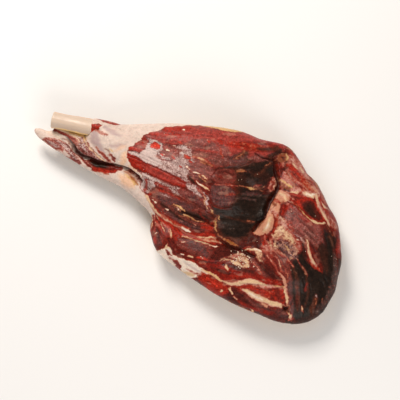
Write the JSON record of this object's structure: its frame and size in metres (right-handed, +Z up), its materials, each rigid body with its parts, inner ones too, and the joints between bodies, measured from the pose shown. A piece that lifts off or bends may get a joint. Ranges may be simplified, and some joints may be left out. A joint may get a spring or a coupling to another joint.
{
  "type": "boned cured ham",
  "caption": "Whole dry-cured ham with the thigh bone taken out, opened flat with its meat face up, tapering to a pale shank with a bone stump.",
  "frame": {"origin": "on the surface that the ham rests on, under the middle of its length and width", "axes": "+X from the shank to the rump, +Y towards the side of the upper round, +Z up out of the meat face"},
  "size_m": [0.5888, 0.286, 0.0935],
  "materials": {
    "cured_meat": "moist, satin",
    "bone": "matt"
  },
  "bodies": {
    "root": {"ham": "cured_meat", "shank_bone": "bone"}
  },
  "joints": []
}
